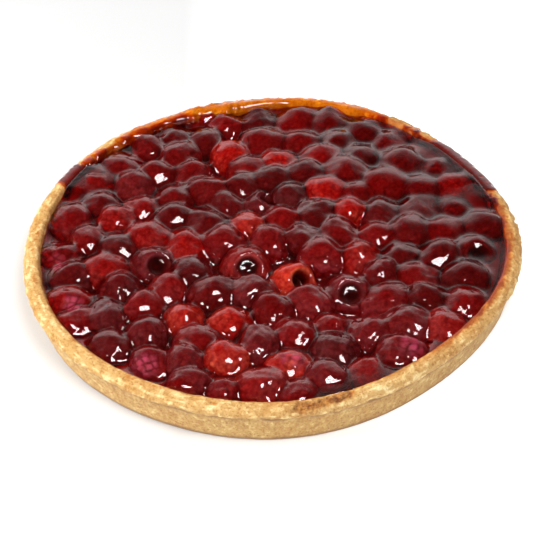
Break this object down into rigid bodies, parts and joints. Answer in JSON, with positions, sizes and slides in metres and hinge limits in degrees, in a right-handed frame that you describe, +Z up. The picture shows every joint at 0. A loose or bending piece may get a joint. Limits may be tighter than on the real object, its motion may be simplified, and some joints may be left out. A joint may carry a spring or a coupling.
{
  "type": "berry tart",
  "caption": "Whole round raspberry tart: a straight-sided shortcrust shell filled with whole raspberries in set red jelly.",
  "frame": {"origin": "centre of the underside of the crust", "axes": "+Z up through the middle of the tart; +Y away from the viewer, +X to the viewer's right"},
  "size_m": [0.2715, 0.2719, 0.0297],
  "materials": {
    "baked_shortcrust": "dry, sandy, golden baked shortcrust",
    "glazed_raspberry": "wet, glossy red jelly over raspberries"
  },
  "bodies": {
    "root": {"crust": "baked_shortcrust", "berry_bed": "glazed_raspberry"}
  },
  "joints": []
}
